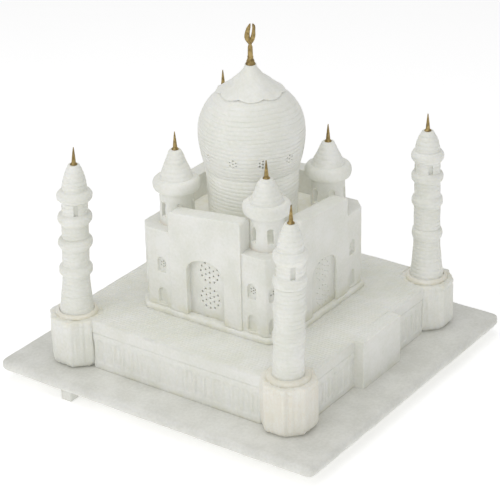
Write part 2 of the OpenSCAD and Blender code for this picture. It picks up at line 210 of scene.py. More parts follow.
def stone(name, pale, deep, clouding=1.0, stain=(0.62, 0.60, 0.37, 1), level=0.0, reach=5 * mm,
          amount=0.0, upright=0.0, strokes=0.25, glow=0.30, inner=0.04, streaks=0.0):
    """Rubbed stone: clouded colour, a glue stain round one level, the strokes of the file, and a painted
    glow (emission in its own colour, of strength inner) that lightens its shade.
    """
    made = bpy.data.materials.new(name)
    made.use_nodes = True
    tree = made.node_tree
    tree.nodes.clear()
    colour = add(tree, "Group", {}, node_tree=clouded)
    mask = add(tree, "Group", {}, node_tree=stained)
    marks = add(tree, "Group", {}, node_tree=marked)
    for node, values in ((colour, {"Pale": (*pale, 1), "Deep": (*deep, 1), "Amount": clouding}),
                         (mask, {"Level": level, "Reach": reach, "Amount": amount}),
                         (marks, {"Upright": upright})):
        for title, value in values.items():
            node.inputs[title].default_value = value
    bump = add(tree, "Bump", {"Height": marks.outputs["Height"], "Strength": strokes, "Distance": 0.4 * mm})
    streak = sums(tree, "MULTIPLY", ramp(tree, marks.outputs["Height"], 0.78, 1.0), streaks)
    tint = sums(tree, "MAXIMUM", mask.outputs["Mask"], streak)
    # The emission is painted light: the stone glows faintly in its own colour, by the strength inner, so
    # that its shaded recesses and hollows come out lighter.
    shader = add(tree, "BsdfPrincipled", {
        "Base Color": mixed(tree, tint, colour.outputs["Colour"], stain),
        "Roughness": ramp(tree, colour.outputs["Cloud"], 0, 1, 0.42, 0.58),
        "Normal": bump.outputs["Normal"],
        "Emission Color": colour.outputs["Colour"], "Emission Strength": inner,
        "Subsurface Weight": glow, "Subsurface Radius": (1.0, 0.9, 0.7), "Subsurface Scale": 1.8 * mm})
    add(tree, "OutputMaterial", {"Surface": shader.outputs["BSDF"]})
    return made


def block(low, high):
    """A block between two opposite corners."""
    low, high = Vector(low), Vector(high)
    bm = bmesh.new()
    bmesh.ops.create_cube(bm, size=1)
    bmesh.ops.scale(bm, verts=bm.verts, vec=high - low)
    bmesh.ops.translate(bm, verts=bm.verts, vec=(low + high) / 2)
    return bm


def eased(bm, edges, width, segments):
    """Rounds some edges over."""
    bmesh.ops.bevel(bm, geom=edges, offset=width, offset_type="OFFSET", affect="EDGES",
                    segments=segments, profile=0.5, material=-1)
    return bm


def level_edges(bm, height=None):
    """Edges that lie level, all of them or those at one height."""
    found = [e for e in bm.edges if abs(e.verts[0].co.z - e.verts[1].co.z) < 1e-6]
    return [e for e in found if height is None or abs(e.verts[0].co.z - height) < 1e-6]


def divided(bm, longest, cuts):
    """Cuts each edge that is longer than the first value into equal lengths."""
    edges = [e for e in bm.edges if e.calc_length() > longest]
    bmesh.ops.subdivide_edges(bm, edges=edges, cuts=cuts, use_grid_fill=True)
    return bm


def hand_worked(bm, depth, size, seed, stretch=(1, 1, 1)):
    """Leaves the low waves of hand rubbing or, drawn out along an axis, the strokes of a file."""
    bm.normal_update()
    shift = Vector((seed * 3.7, seed * 1.9, seed * 5.3))
    scale = Vector(1 / (size * s) for s in stretch)
    moves = [(v, v.normal * depth * noise.noise(v.co * scale + shift)) for v in bm.verts]
    for vertex, move in moves:
        vertex.co += move
    return bm


def piece(name, bm, material, body, slot, *nodes):
    """Makes a finished shape a piece that rides on a body and stands for CAD nodes."""
    materials = material if isinstance(material, tuple) else (material,)
    mesh = bpy.data.meshes.new(name)
    bm.to_mesh(mesh)
    bm.free()
    mesh.shade_smooth()
    mesh.set_sharp_from_angle(angle=radians(48))
    for each in materials:
        mesh.materials.append(each)
    made = bpy.data.objects.new(name, mesh)
    bpy.context.scene.collection.objects.link(made)
    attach(made, body)
    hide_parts(*nodes)
    return made


corners = {"front_left": (-1, -1), "front_right": (1, -1), "back_right": (1, 1), "back_left": (-1, 1)}
marble = stone("rubbed_marble", (0.73, 0.73, 0.69), (0.63, 0.63, 0.585), strokes=0.15, glow=0.12)
low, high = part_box("base_slab")
slab_top = high.z
slab_round, slab_corner = 4.3 * mm, 9 * mm
long_edge = 20 * mm
slab = block(low, high)
eased(slab, level_edges(slab), slab_round, 5)
divided(slab, long_edge, 120)
for vertex in slab.verts:
    u, v = [max(0.0, abs(vertex.co[axis]) - high[axis] + slab_corner) / slab_corner
            for axis in (0, 1)]
    vertex.co.x -= (u - u * sqrt(1 - v * v / 2)) * slab_corner * (1 if vertex.co.x > 0 else -1)
    vertex.co.y -= (v - v * sqrt(1 - u * u / 2)) * slab_corner * (1 if vertex.co.y > 0 else -1)
piece("sawn_slab", hand_worked(slab, 0.35 * mm, 18 * mm, 1), marble, "model", "slab_marble", "base_slab")
for corner in corners:
    foot = block(*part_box("foot_" + corner))
    eased(foot, foot.edges[:], 0.7 * mm, 2)
    piece("foot_block_" + corner, foot, marble, "model", "slab_marble", "foot_" + corner)


# ---- Terrace walls ----
# Four plates stand on edge round a hollow. Each face is cut with a row of tall shallow
# panels between scribed lines. Two file cuts in each panel are deep only at one end.
def applied(bm, *modifiers):
    """Runs modifiers on a shape and gives the result as a new shape."""
    mesh = bpy.data.meshes.new("work")
    bm.to_mesh(mesh)
    bm.free()
    work = bpy.data.objects.new("work", mesh)
    bpy.context.scene.collection.objects.link(work)
    for kind, settings in modifiers:
        modifier = work.modifiers.new(kind, kind)
        for name, value in settings.items():
            setattr(modifier, name, value)
    result = bmesh.new()
    result.from_object(work, bpy.context.evaluated_depsgraph_get())
    bpy.data.objects.remove(work)
    bpy.data.meshes.remove(mesh)
    return result


def rubbed(bm, fineness, passes):
    """Wears a cut shape down all over, as rubbing with wet grit does."""
    return applied(bm, ("REMESH", {"mode": "VOXEL", "voxel_size": fineness}),
                   ("SMOOTH", {"factor": 0.5, "iterations": passes}))


def cut(bm, tool):
    """Cuts the shape of a tool out of a piece."""
    mesh = bpy.data.meshes.new("tool")
    tool.to_mesh(mesh)
    tool.free()
    cutter = bpy.data.objects.new("tool", mesh)
    bpy.context.scene.collection.objects.link(cutter)
    result = applied(bm, ("BOOLEAN", {"operation": "DIFFERENCE", "solver": "EXACT", "object": cutter}))
    bpy.data.objects.remove(cutter)
    bpy.data.meshes.remove(mesh)
    return result


def together(*shapes):
    """Puts several shapes into one."""
    whole = bmesh.new()
    for shape in shapes:
        mesh = bpy.data.meshes.new("part")
        shape.to_mesh(mesh)
        shape.free()
        whole.from_mesh(mesh)
        bpy.data.meshes.remove(mesh)
    return whole


def placed(bm, x=0.0, y=0.0, z=0.0, turn=0.0):
    """Turns a shape about the upright axis, then moves it."""
    bmesh.ops.rotate(bm, verts=bm.verts, cent=(0, 0, 0), matrix=Matrix.Rotation(turn, 3, "Z"))
    bmesh.ops.translate(bm, verts=bm.verts, vec=(x, y, z))
    return bm


def drawn_out(outline, way):
    """A solid from a flat outline of points, drawn out along a vector."""
    bm = bmesh.new()
    face = bm.faces.new([bm.verts.new(point) for point in outline])
    grown = bmesh.ops.extrude_face_region(bm, geom=[face])["geom"]
    bmesh.ops.translate(bm, verts=[v for v in grown if isinstance(v, bmesh.types.BMVert)], vec=way)
    bmesh.ops.recalc_face_normals(bm, faces=bm.faces)
    return bm


def arch(width, height, deep, rise=None, out=1 * mm):
    """An upright arched bar at the origin, from a little in front of the XZ plane to behind it."""
    rise = rise or width / 2
    bends = 14
    outline = [(-width / 2, -out, 0), (width / 2, -out, 0)]
    for step in range(bends + 1):
        angle = pi * step / bends
        outline.append((width / 2 * cos(angle), -out, height - rise + rise * sin(angle)))
    return drawn_out(outline, (0, deep + out, 0))


sides = ("front", "right", "back", "left")
low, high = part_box("terrace_deck")
deck_z = high.z
centre = (low + high) / 2
terrace_half = (high.x - low.x) / 2
alabaster_pale = (0.80, 0.80, 0.762)
alabaster_deep = (0.73, 0.735, 0.675)
panel_pitch, panel_count = 8.9 * mm, 19
panel_w, panel_h, panel_foot, panel_deep = 6.8 * mm, 21 * mm, 5.5 * mm, 0.75 * mm
slit_w, slit_h, slit_foot, slit_off = 1.3 * mm, 16 * mm, 8 * mm, 2.2 * mm
deep_slits, deep_step = 3, 1.1 * mm
scribe_deep = 1.1 * mm
# Height above the slab and width of each scribed line
scribes = ((4.4 * mm, 1.0 * mm), (28.0 * mm, 1.3 * mm), (31.2 * mm, 1.5 * mm))
panel_shift = {"front": 0.0, "right": 0.0, "back": 0.0, "left": -3.5 * mm}
wall_stone = stone("terrace_wall_stone", alabaster_pale, alabaster_deep, level=slab_top,
                   reach=4 * mm, amount=0.35, upright=1.0, strokes=0.35)
for index, side in enumerate(sides):
    low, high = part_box("terrace_wall_" + side)
    reach = high - low
    half_length = max(reach.x, reach.y) / 2
    wall = block((-half_length, -terrace_half, low.z),
                 (half_length, -terrace_half + min(reach.x, reach.y), high.z))
    panels, slits = [], []
    chance = Random(index)
    for number in range(panel_count):
        x = (number - (panel_count - 1) / 2) * panel_pitch + panel_shift[side]
        slit_deep = panel_deep + chance.uniform(0.7, 1.3) * mm
        if side == "left" and number < deep_slits:
            slit_deep += (deep_slits + 0.4 - number) * deep_step
        panels.append(placed(arch(panel_w, panel_h, panel_deep), x, -terrace_half, low.z + panel_foot))
        for hand in (-1, 1):
            slit = arch(slit_w, slit_h, slit_deep)
            slits.append(placed(slit, x + hand * slit_off, -terrace_half, low.z + slit_foot))
    lines = [block((-half_length - mm, -terrace_half - mm, low.z + z),
                   (half_length + mm, -terrace_half + scribe_deep, low.z + z + width))
             for z, width in scribes]
    wall = cut(cut(wall, together(*lines, *panels)), together(*slits))
    wall = placed(rubbed(wall, 0.75 * mm, 1), centre.x, centre.y, 0, index * pi / 2)
    hand_worked(wall, 0.3 * mm, 1.6 * mm, index + 10, (1, 1, 12))
    piece("cut_wall_" + side, wall, wall_stone, "model", "alabaster", "terrace_wall_" + side)


# ---- Terrace deck and stair bay ----
# A thick plate covers the walls. A saw has scored its top and its rounded rim into small
# square pavers. The bay in front is one solid block, scored in the same way.
def scored(bm, pitch, joint, deep):
    """Scores the top and the rim of a block into square pavers."""
    longer = [e.calc_length() for e in bm.edges if e.calc_length() > 3 * pitch]
    for length in sorted({round(each, 5) for each in longer}):
        edges = [e for e in bm.edges if abs(e.calc_length() - length) < 1e-5]
        bmesh.ops.subdivide_edges(bm, edges=edges, cuts=round(length / pitch) - 1, use_grid_fill=True)
    bm.normal_update()
    faces = [f for f in bm.faces if f.normal.z > 0.2]
    bmesh.ops.inset_individual(bm, faces=faces, thickness=joint, depth=deep)
    return bm


def turned(outline, steps, closed=False):
    """Turns an outline of radius and height round the upright axis."""
    bm = bmesh.new()
    points = [bm.verts.new((radius, 0, height)) for radius, height in outline]
    edges = [bm.edges.new(pair) for pair in zip(points, points[1:])]
    if closed:
        edges.append(bm.edges.new((points[-1], points[0])))
    bmesh.ops.spin(bm, geom=points + edges, cent=(0, 0, 0), axis=(0, 0, 1), angle=2 * pi,
                   steps=steps, use_merge=True)
    bmesh.ops.remove_doubles(bm, verts=bm.verts, dist=1e-6)
    bmesh.ops.recalc_face_normals(bm, faces=bm.faces)
    return bm


paver, joint_w, joint_deep, rim = 2.9 * mm, 0.4 * mm, 0.2 * mm, 1.6 * mm
deck_stone = stone("deck_stone", alabaster_pale, alabaster_deep, level=deck_z, reach=2 * mm,
                   amount=0.08, strokes=0.12)
low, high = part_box("terrace_deck")
tower_low, tower_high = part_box("tower_base_front_left")
tower_half = (tower_high.x - tower_low.x) / 2
tower_places = {}
for corner in corners:
    near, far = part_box("tower_base_" + corner)
    tower_places[corner] = (near + far) / 2
tower_point = tower_half / cos(pi / 8)
hidden_edge = 0.9 * mm
bay_low, bay_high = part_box("stair_bay")
deck = block(low, (high.x, high.y, high.z - joint_deep))
eased(deck, level_edges(deck, high.z - joint_deep), rim, 3)
scored(deck, paver, joint_w, joint_deep)
shadows = []
for corner, place in tower_places.items():
    reach = tower_point - hidden_edge
    foot, head = low.z - mm, high.z + mm
    tool = turned([(0, foot), (reach, foot), (reach, head), (0, head)], 8)
    shadows.append(placed(tool, place.x, place.y, 0, pi / 8))
shadows.append(block((bay_low.x, low.y - mm, low.z - mm), (bay_high.x, bay_high.y, high.z + mm)))
deck = hand_worked(cut(deck, together(*shadows)), 0.25 * mm, 9 * mm, 20)
piece("scored_deck", deck, deck_stone, "model", "alabaster", "terrace_deck")

bay = block(bay_low, (bay_high.x, bay_high.y, bay_high.z - joint_deep))
hand_worked(scored(bay, paver, joint_w, joint_deep), 0.3 * mm, 7 * mm, 21)
bay_stone = stone("bay_stone", alabaster_pale, alabaster_deep, level=slab_top, reach=6 * mm,
                  amount=0.2, upright=1.0, strokes=0.3)
piece("solid_bay", bay, bay_stone, "model", "alabaster", "stair_bay")


# ---- Tower bases and collars ----
# Each corner has an eight-sided block, filed round at its foot, with a lip at the top. It is
# drilled for the minaret, and a ring glued on top hides the joint.
tower_h = tower_high.z - tower_low.z
socket_r, socket_deep = 7.3 * mm, 11.5 * mm
glue_yellow = (0.66, 0.58, 0.30, 1)
glue_pink = (0.72, 0.58, 0.44, 1)
# Height in mm and share of the full width, from the filed foot to the lip
tower_shape = ((0.0, 0.79), (0.8, 0.86), (2.0, 0.92), (3.6, 0.965), (5.4, 0.99), (7.5, 1.0), (36.0, 1.0),
               (37.2, 0.965), (38.4, 1.0), (40.8, 1.0), (tower_h / mm, 0.975))
plain_tower = {"pale": alabaster_pale, "deep": alabaster_deep, "stain": glue_yellow,
               "level": tower_high.z, "reach": 4 * mm, "amount": 0.15, "streaks": 0.06}
warm_tower = {"pale": (0.81, 0.805, 0.75), "deep": (0.765, 0.75, 0.665), "stain": glue_pink,
              "level": tower_high.z - 16 * mm, "reach": 24 * mm, "amount": 0.14, "streaks": 0.22}
for number, (corner, place) in enumerate(tower_places.items()):
    outline = [(0, 0)] + [(tower_point * share, z * mm) for z, share in tower_shape] + [(0, tower_h)]
    tower = rubbed(placed(turned(outline, 8), turn=pi / 8), 0.8 * mm, 4)
    placed(tower, place.x, place.y, tower_low.z)
    hand_worked(tower, 0.7 * mm, 2.4 * mm, number + 30, (1, 1, 14))
    hand_worked(tower, 0.5 * mm, 16 * mm, number + 35)
    drill = bmesh.new()
    bmesh.ops.create_cone(drill, cap_ends=True, segments=48, radius1=socket_r, radius2=socket_r,
                          depth=2 * socket_deep)
    tower = cut(tower, placed(drill, place.x, place.y, tower_high.z))
    tower_stone = stone("tower_stone_" + corner, upright=1.0, strokes=0.5,
                        **(warm_tower if corner == "front_left" else plain_tower))
    piece("tower_block_" + corner, tower, tower_stone, "model", "alabaster", "tower_base_" + corner)

collar_low, collar_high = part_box("collar_front_left")
collar_h = collar_high.z - collar_low.z
collar_r = (collar_high.x - collar_low.x) / 2
foot_radii = {"front_left": 12.4 * mm, "front_right": 14.1 * mm, "back_right": 14.1 * mm,
              "back_left": 14.1 * mm}
collar_stone = stone("glued_ring_stone", (0.80, 0.79, 0.735), (0.745, 0.72, 0.62), stain=glue_yellow,
                     level=deck_z, reach=3.2 * mm, amount=0.22, strokes=0.2)
for number, (corner, place) in enumerate(tower_places.items()):
    bore = foot_radii[corner] + 0.05 * mm
    outline = [(bore, 0), (collar_r, 0), (collar_r, 0.3 * collar_h), (collar_r - 0.5 * mm, 0.62 * collar_h),
               (collar_r - 1.3 * mm, 0.87 * collar_h), (collar_r - 2.2 * mm, collar_h), (bore, collar_h)]
    collar = placed(turned(outline, 90, closed=True), place.x, place.y, deck_z)
    hand_worked(collar, 0.35 * mm, 5 * mm, number + 40)
    piece("glued_ring_" + corner, collar, collar_stone, "model", "alabaster", "collar_" + corner)


# ---- Minarets ----
# Each is turned from one rod: a tapering shaft cut into low courses, four bulging balconies,
# a lantern with four slots and a domed top. A spigot under it stands loose in the tower.
spigot_r, spigot_l = 7 * mm, deck_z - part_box("minaret_front_left")[0].z
knee_radii = {"front_left": 12 * mm, "front_right": 11.2 * mm, "back_right": 11.2 * mm,
              "back_left": 11.2 * mm}
# Height of the middle and radius of each balcony, in mm
balconies = {
    "front_left": ((35.5, 12.9), (59.0, 12.8), (81.5, 12.9), (101.5, 13.2)),
    "front_right": ((40.8, 12.7), (69.9, 12.9), (91.0, 13.0), (109.0, 13.5)),
    "back_right": ((38.5, 13.4), (63.0, 13.8), (85.5, 13.9), (105.5, 14.0)),
    "back_left": ((38.5, 13.6), (62.0, 14.0), (83.3, 14.0), (102.2, 14.4))}
balcony_half, knee_h, taper = 4.4 * mm, 28 * mm, 0.0083
cap_foot_r, cap_tip_r = 10.1 * mm, 4.6 * mm
course, course_deep = 3.5 * mm, 0.44 * mm
slot_w, slot_deep, slot_gap = 3.8 * mm, 2.5 * mm, 0.2 * mm


def shaft(corner, height):
    """Radius of the plain shaft, which tapers faster below its knee."""
    foot, knee = foot_radii[corner], knee_radii[corner]
    if height < knee_h:
        return foot + (knee - foot) * height / knee_h
    return knee - taper * (height - knee_h)


def minaret_radius(corner, height, tall):
    """Radius of a minaret with its balconies and its domed top."""
    cap_foot = balconies[corner][-1][0] * mm + balcony_half
    if height > cap_foot:
        rise = (height - cap_foot) / (tall - cap_foot)
        return cap_tip_r + (cap_foot_r - cap_tip_r) * (1 - rise ** 2)
    radius = shaft(corner, height)
    for level, reach in balconies[corner]:
        rise = (height - level * mm) / balcony_half
        if abs(rise) < 1:
            plain = shaft(corner, level * mm)
            radius = plain + (reach * mm - plain) * (1 - rise ** 2) ** 0.5
    return radius


def coursed(bm, pitch, deep, wander, seed, low, high):
    """Cuts level V grooves into a turned shape, which wander a little up and down."""
    shift = Vector((seed * 2.3, seed * 4.1, 0))
    for vertex in bm.verts:
        z = vertex.co.z
        if low < z < high:
            bearing = vertex.co.xy.normalized()
            line = z + wander * noise.noise(Vector((*bearing, z * 30)) * 1.3 + shift)
            groove = (1 - abs(sin(pi * line / pitch))) ** 1.8
            groove *= 1 + 0.6 * noise.noise(Vector((*bearing, z * 90)) * 2.1 - shift)
            move = bearing * (-deep * groove)
            vertex.co.x += move.x
            vertex.co.y += move.y
    return bm


# Sideways run in X and Y for each unit of height
leans = {"front_left": (0.014, -0.0192), "front_right": (-0.0079, 0.0113), "back_right": (0.0, 0.0),
         "back_left": (0.0227, -0.0314)}
minaret_stone = stone("minaret_stone", alabaster_pale, alabaster_deep, stain=glue_yellow, level=deck_z,
                      reach=5 * mm, amount=0.25, strokes=0.22)


def leaning(bm, corner):
    """Leans a minaret or its spire over from the foot."""
    for vertex in bm.verts:
        vertex.co.x += leans[corner][0] * max(0.0, vertex.co.z)
        vertex.co.y += leans[corner][1] * max(0.0, vertex.co.z)
    return bm


for number, (corner, place) in enumerate(tower_places.items()):
    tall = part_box("minaret_" + corner)[1].z - deck_z
    rings = round(tall / (0.45 * mm))
    outline = [(0, -spigot_l), (spigot_r - 0.5 * mm, -spigot_l), (spigot_r, 0.5 * mm - spigot_l),
               (spigot_r, 0)]
    outline += [(minaret_radius(corner, tall * ring / rings, tall), tall * ring / rings)
                for ring in range(rings + 1)]
    minaret = turned(outline + [(0, tall)], 72)
    coursed(minaret, course, course_deep, 0.4 * mm, number, 3.6 * mm, tall - mm)
    hand_worked(minaret, 0.3 * mm, 7 * mm, number + 50)
    slot_z = balconies[corner][2][0] * mm + balcony_half + slot_gap
    slot_h = balconies[corner][3][0] * mm - balcony_half - slot_gap - slot_z
    slots = []
    for turn in range(4):
        slot = placed(arch(slot_w, slot_h, slot_deep, out=4 * mm), 0, -shaft(corner, slot_z), slot_z)
        slots.append(placed(slot, turn=pi / 4 + turn * pi / 2))
    minaret = leaning(cut(minaret, together(*slots)), corner)
    piece("turned_minaret_" + corner, placed(minaret, place.x, place.y, deck_z), minaret_stone,
          "minaret_" + corner, "alabaster", "minaret_" + corner)


# ---- Spires ----
# Short pointed pins turned from brass rod, with a collar at the foot. Each is pushed into a
# drilled hole and glued, and its collar hides the edge of the hole.
def brass_finish(name, bright, dull):
    """Old brass: brown tarnish in patches over a dull golden ground."""
    made = bpy.data.materials.new(name)
    made.use_nodes = True
    tree = made.node_tree
    tree.nodes.clear()
    patches = ramp(tree, grain(tree, 2.5 * mm), 0.35, 0.65)
    bump = add(tree, "Bump", {"Height": grain(tree, 0.5 * mm, (1, 1, 4)), "Strength": 0.3,
                              "Distance": 0.2 * mm})
    shader = add(tree, "BsdfPrincipled", {
        "Base Color": mixed(tree, patches, (*bright, 1), (*dull, 1)), "Metallic": 1.0,
        "Roughness": ramp(tree, patches, 0, 1, 0.34, 0.55), "Normal": bump.outputs["Normal"]})
    add(tree, "OutputMaterial", {"Surface": shader.outputs["BSDF"]})
    return made


brass = brass_finish("old_brass", (0.47, 0.35, 0.15), (0.25, 0.18, 0.075))
spire_flange_r, spire_neck_r, spire_r, spire_tip_r = 2.9 * mm, 1.9 * mm, 1.75 * mm, 0.35 * mm
pin_r, pin_l, glue_gap = 0.8 * mm, 2 * mm, 0.05 * mm


def spire(base_z, tip_z):
    """A turned spire with a collar, and its blunt pin below."""
    height = tip_z - base_z
    outline = [(0, -pin_l), (pin_r, -pin_l), (pin_r, glue_gap), (spire_flange_r, glue_gap),
               (spire_flange_r, 0.5 * mm), (spire_flange_r - 0.4 * mm, 1.0 * mm), (spire_neck_r, 1.5 * mm)]
    for step in range(9):
        share = step / 8
        radius = spire_r + (spire_tip_r - spire_r) * share ** 1.15
        outline.append((radius, 1.9 * mm + (height - 2.2 * mm) * share))
    return turned(outline + [(0, height)], 24)


for corner, place in tower_places.items():
    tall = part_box("minaret_" + corner)[1].z - deck_z
    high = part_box("minaret_spire_" + corner)[1]
    pin = placed(spire(deck_z + tall, high.z), z=tall)
    pin = placed(leaning(pin, corner), place.x, place.y, deck_z)
    piece("brass_spire_" + corner, pin, brass, "minaret_" + corner, "brass", "minaret_spire_" + corner)


# ---- Hall step and corner blocks ----
# A low plinth carries four corner blocks, hollow behind, with cut-off corners. Each face has
# two arched niches, and the upper ones are pierced with a small star of holes.
def hall_outline(half, chamfer, z):
    """The square with cut-off corners that the hall and its step share."""
    near = half - chamfer
    return [(-half, -near, z), (-near, -half, z), (near, -half, z), (half, -near, z),
            (half, near, z), (near, half, z), (-near, half, z), (-half, near, z)]


low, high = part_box("hall_step")
step_half = (high.x - low.x) / 2
hall_z = high.z
step_chamfer, step_w = 10 * mm, 30 * mm
step_in = step_half - step_w
step = cut(drawn_out(hall_outline(step_half, step_chamfer, low.z), (0, 0, high.z - low.z)),
           block((-step_in, -step_in, low.z - mm), (step_in, step_in, high.z + mm)))
step = placed(rubbed(step, 1.3 * mm, 9), centre.x, centre.y)
hand_worked(step, 0.4 * mm, 6 * mm, 60)
# This stone has a stronger painted glow (inner), which lightens the shade round the step.
step_stone = stone("step_stone", alabaster_pale, alabaster_deep, level=deck_z + 1 * mm, reach=6 * mm,
                   amount=0.3, strokes=0.2, inner=0.08)
piece("rubbed_step", step, step_stone, "model", "alabaster", "hall_step")

roof_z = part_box("hall_roof")[1].z
hall_half, hall_t, chamfer = 66.5 * mm, 12 * mm, 9.5 * mm
portal_half = 34.5 * mm
niche_w, niche_deep = 8 * mm, 3 * mm
upper_niche, lower_niche = (30 * mm, 13 * mm), (2 * mm, 14 * mm)
niche_x = 43.6 * mm
hole_r, star_r = 0.75 * mm, 2.3 * mm
star_rise, low_star_z = 0.48, 9 * mm
chamfer_face = (2 * hall_half - chamfer) / sqrt(2)
hall_stone = stone("hall_stone", alabaster_pale, alabaster_deep, level=hall_z, reach=12 * mm, amount=0.35,
                   upright=0.6, strokes=0.22)


def star(radius, count, hole, deep):
    """Drills for a star of holes that go in along +Y: one in the middle and a ring round it."""
    drills = []
    for number in range(count + 1):
        drill = bmesh.new()
        bmesh.ops.create_cone(drill, cap_ends=True, segments=10, radius1=hole, radius2=hole,
                              depth=2 * deep)
        lying = Matrix.Rotation(pi / 2, 3, "X")
        bmesh.ops.rotate(drill, verts=drill.verts, cent=(0, 0, 0), matrix=lying)
        angle = 2 * pi * number / count
        reach = radius if number < count else 0
        drills.append(placed(drill, reach * sin(angle), 0, reach * cos(angle)))
    return drills


def both(shapes, **place):
    """Turns and moves several shapes alike."""
    return [placed(shape, **place) for shape in shapes]


for index, corner in enumerate(corners):
    inner = hall_half - hall_t
    near = hall_half - chamfer
    side_x = portal_half - 0.5 * mm
    outline = [(-side_x, -hall_half), (-near, -hall_half), (-hall_half, -near), (-hall_half, -side_x),
               (-inner, -side_x), (-inner, -inner), (-side_x, -inner)]
    wing = drawn_out([(x, y, hall_z) for x, y in outline], (0, 0, roof_z - hall_z))
    niches, stars = [], []
    for foot, tall in (upper_niche, lower_niche):
        for x, face, turn in ((-niche_x, hall_half, 0.0), (niche_x, hall_half, -pi / 2),
                              (0, chamfer_face, -pi / 4)):
            niche = placed(arch(niche_w, tall, niche_deep), x, -face, hall_z + foot)
            niches.append(placed(niche, turn=turn))
    star_z = hall_z + upper_niche[0] + star_rise * upper_niche[1]
    for holes, deep, x, face, z, turn in (
            (6, hall_t + 2 * mm, -niche_x, hall_half, star_z, 0.0),
            (6, hall_t + 2 * mm, niche_x, hall_half, star_z, -pi / 2),
            (3, hall_t, 0, chamfer_face, star_z, -pi / 4),
            (2, hall_t, 0, chamfer_face, hall_z + low_star_z, -pi / 4)):
        stars += both(both(star(star_r, holes, hole_r, deep), x=x, y=-face, z=z), turn=turn)
    wing = rubbed(cut(wing, together(*niches)), 0.65 * mm, 2)
    wing = cut(wing, together(*stars))
    placed(wing, centre.x, centre.y, 0, index * pi / 2)
    hand_worked(wing, 0.3 * mm, 8 * mm, index + 70)
    piece("carved_corner_" + corner, wing, hall_stone, "model", "alabaster", "hall_corner_" + corner)


# ---- Portals and screens ----
# A tall slab stands in the middle of each side, a little proud, with a broad arch sawn
# through it. A thin screen fills the arch, drilled with two rosettes.
portal_out = 1.5 * mm
arch_w, arch_rise = 36 * mm, 12 * mm
arch_heights = {"front": 45 * mm, "right": 51 * mm, "back": 51 * mm, "left": 51 * mm}
slants = {"front": 0.08, "right": 0.0, "back": 0.0, "left": -0.105}
shoulder = 2.5 * mm
portal_stone = stone("portal_stone", alabaster_pale, alabaster_deep, level=hall_z, reach=9 * mm, amount=0.4,
                     upright=0.5, strokes=0.18)
for index, side in enumerate(sides):
    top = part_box("portal_" + side)[1].z
    slab = block((-portal_half, -hall_half - portal_out, hall_z), (portal_half, hall_t - hall_half, top))
    for vertex in slab.verts:
        if vertex.co.z > hall_z + mm:
            vertex.co.z -= slants[side] * vertex.co.x + abs(slants[side]) * (portal_half - 3 * mm)
    top_corners = [e for e in slab.edges
                   if abs((e.verts[0].co - e.verts[1].co).y) > mm and e.verts[0].co.z > hall_z + mm]
    eased(slab, top_corners, shoulder, 4)
    opening = arch(arch_w, arch_heights[side] + 0.5 * mm, hall_t + 4 * mm, arch_rise)
    slab = cut(slab, placed(opening, 0, -hall_half - portal_out, hall_z - 0.5 * mm))
    slab = rubbed(slab, 0.65 * mm, 2)
    placed(slab, centre.x, centre.y, 0, index * pi / 2)
    hand_worked(slab, 0.35 * mm, 9 * mm, index + 80)
    piece("sawn_portal_" + side, slab, portal_stone, "model", "alabaster", "portal_" + side)

screen_t = 3 * mm
screen_depths = {"front": 2.4 * mm, "right": 5.4 * mm, "back": 5.4 * mm, "left": 5.4 * mm}
rosette_r, inner_r, rosette_drop, rosette_pitch = 8.6 * mm, 4.4 * mm, 11.2 * mm, 22.4 * mm
rosette_hole_r, small_hole_r, off_middle = 1.0 * mm, 0.6 * mm, 1 * mm
screen_stone = stone("screen_stone", alabaster_pale, alabaster_deep, level=hall_z, reach=7 * mm,
                     amount=0.45, strokes=0.15)
for index, side in enumerate(sides):
    arch_h = arch_heights[side]
    screen = arch(arch_w + 0.8 * mm, arch_h + 0.4 * mm, screen_t, arch_rise, out=0)
    eased(screen, [e for e in screen.edges if e.calc_face_angle(0) > 1], 0.3 * mm, 1)
    drills = []
    x = off_middle if side == "left" else 0.0
    hole = small_hole_r if side == "front" else rosette_hole_r
    for z in (arch_h - rosette_drop, arch_h - rosette_drop - rosette_pitch):
        drills += both(star(rosette_r, 12, hole, screen_t), x=x, z=z)
        inner_ring = star(inner_r, 6, 0.9 * hole, screen_t)
        inner_ring.pop().free()
        drills += both(inner_ring, x=x, z=z)
    screen = cut(screen, together(*drills))
    placed(screen, 0, screen_depths[side] - hall_half - portal_out, hall_z)
    placed(screen, centre.x, centre.y, 0, index * pi / 2)
    piece("drilled_screen_" + side, screen, screen_stone, "model", "alabaster", "jali_" + side)


# ---- Roof ----
# One alabaster plate is laid between the walls and glued in at its edges. It is rubbed flat
# and carries the kiosks and the drum.
low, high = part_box("hall_roof")
roof = block(low, high)
eased(roof, roof.edges[:], 0.6 * mm, 2)
hand_worked(divided(roof, long_edge, 40), 0.4 * mm, 9 * mm, 90)
# The roof's stone has a strong painted glow (inner), which lightens the shade in the well between the
# kiosks and the drum.
roof_stone = stone("roof_stone", alabaster_pale, (0.74, 0.73, 0.65), level=roof_z, reach=3 * mm, amount=0.3,
                   inner=0.2)
piece("rubbed_roof", roof, roof_stone, "model", "alabaster", "hall_roof")


